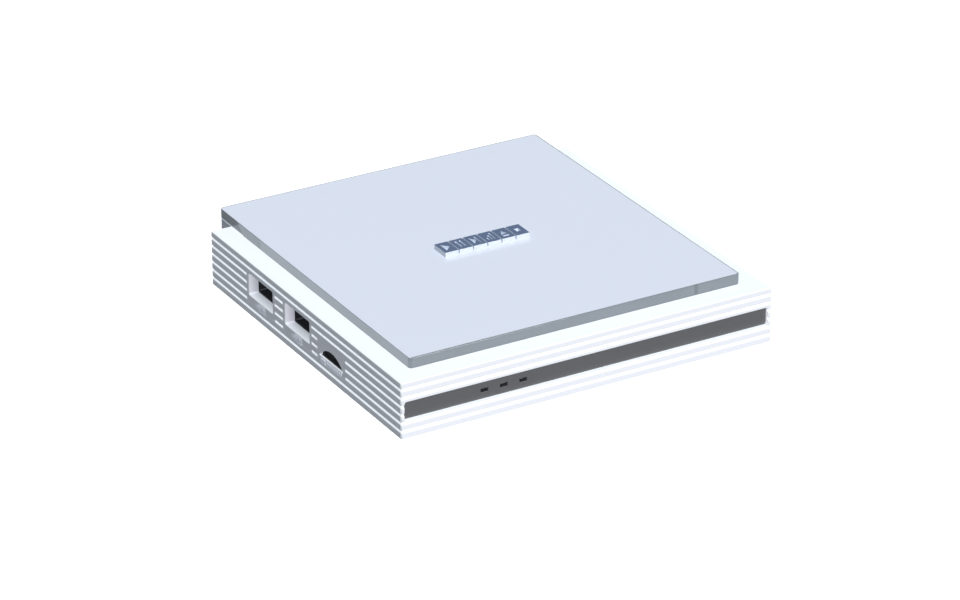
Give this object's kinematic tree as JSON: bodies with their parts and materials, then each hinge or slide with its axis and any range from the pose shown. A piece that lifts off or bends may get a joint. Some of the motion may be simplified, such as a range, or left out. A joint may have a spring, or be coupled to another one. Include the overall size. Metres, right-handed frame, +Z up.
{
  "type": "streaming media player",
  "caption": "Flat square streaming media player: ribbed white housing, clear plate standing out over the back, dark infra-red strip, USB, card and rear ports.",
  "frame": {"origin": "middle of the footprint, on the surface that the four feet stand on", "axes": "+Z up; the infra-red window faces -Y, the rear ports face +Y, the USB and card ports face -X"},
  "size_m": [0.105, 0.105, 0.0197],
  "materials": {
    "shell_white": "fine satin moulded white",
    "clear_acrylic": "polished clear acrylic, pale blue",
    "tint_film": "pale blue bonding film",
    "badge_slate": "satin dark slate",
    "base_white": "fine matt moulded white",
    "panel_grey": "fine matt grey",
    "smoke_strip": "satin smoked plastic, clear to infra-red",
    "screw_steel": "zinc plated",
    "foot_rubber": "matt black rubber",
    "lens_black": "gloss near black, unlit",
    "led_amber": "clear epoxy with phosphor",
    "package_black": "moulded black epoxy",
    "solder_mask": "green solder mask on glass epoxy",
    "gap_pad": "soft blue-grey silicone",
    "fin_aluminium": "extruded, natural",
    "pin_nylon": "natural nylon",
    "plated_metal": "tin and nickel plated sheet",
    "ferrite": "sintered, matt",
    "can_aluminium": "drawn can",
    "antenna_film": "black flexible circuit",
    "lead_black": "smooth black jacket",
    "port_black": "moulded black insulator",
    "shutter_black": "moulded black",
    "slider_ivory": "ivory moulded plastic"
  },
  "bodies": {
    "root": {"housing": "shell_white", "top_cover": "clear_acrylic", "cover_film": "tint_film", "badge": "badge_slate", "base_cover": "base_white", "rear_io_panel": "panel_grey", "ir_window": "smoke_strip", "case_screw_1": "screw_steel", "case_screw_2": "screw_steel", "case_screw_3": "screw_steel", "case_screw_4": "screw_steel", "foot_1": "foot_rubber", "foot_2": "foot_rubber", "foot_3": "foot_rubber", "foot_4": "foot_rubber", "light_guide_1": "lens_black", "light_guide_2": "lens_black", "light_guide_3": "lens_black", "status_led_1": "led_amber", "status_led_2": "led_amber", "status_led_3": "led_amber", "ir_receiver": "package_black", "soc": "package_black", "ram_1": "package_black", "ram_2": "package_black", "flash_memory": "package_black", "power_manager": "package_black", "lan_transformer": "package_black", "reset_switch": "package_black", "main_board": "solder_mask", "thermal_pad": "gap_pad", "heat_sink": "fin_aluminium", "heat_sink_pin_1": "pin_nylon", "heat_sink_pin_2": "pin_nylon", "crystal": "plated_metal", "wifi_module": "plated_metal", "usb_shell_1": "plated_metal", "usb_shell_2": "plated_metal", "card_socket_cover": "plated_metal", "ethernet_shield": "plated_metal", "hdmi_shell": "plated_metal", "dc_pin": "plated_metal", "inductor_1": "ferrite", "inductor_2": "ferrite", "capacitor": "can_aluminium", "antenna_front": "antenna_film", "antenna_rear": "antenna_film", "antenna_lead_front": "lead_black", "antenna_lead_rear": "lead_black", "usb_tongue_1": "port_black", "usb_tongue_2": "port_black", "card_socket_body": "port_black", "ethernet_insert": "port_black", "hdmi_tongue": "port_black", "av_jack": "port_black", "dc_jack_body": "port_black", "optical_body": "port_black"},
    "reset_button": {"reset_button": "slider_ivory"},
    "card_slider": {"card_slider": "slider_ivory"},
    "optical_shutter": {"optical_shutter": "shutter_black"}
  },
  "joints": [
    {"name": "reset_press", "type": "slide", "parent": "root", "child": "reset_button", "axis": [0, 0, 1], "range_m": [0, 0.0003], "stiffness_N_per_m": 400},
    {"name": "card_push", "type": "slide", "parent": "root", "child": "card_slider", "axis": [1, 0, 0], "range_m": [0, 0.0011], "stiffness_N_per_m": 300},
    {"name": "shutter_swing", "type": "hinge", "parent": "root", "child": "optical_shutter", "pos_m": [0.021, 0.05125, 0.01175], "axis": [-1, 0, 0], "range_deg": [0, 80], "stiffness_Nm_per_rad": 0.0003}
  ]
}
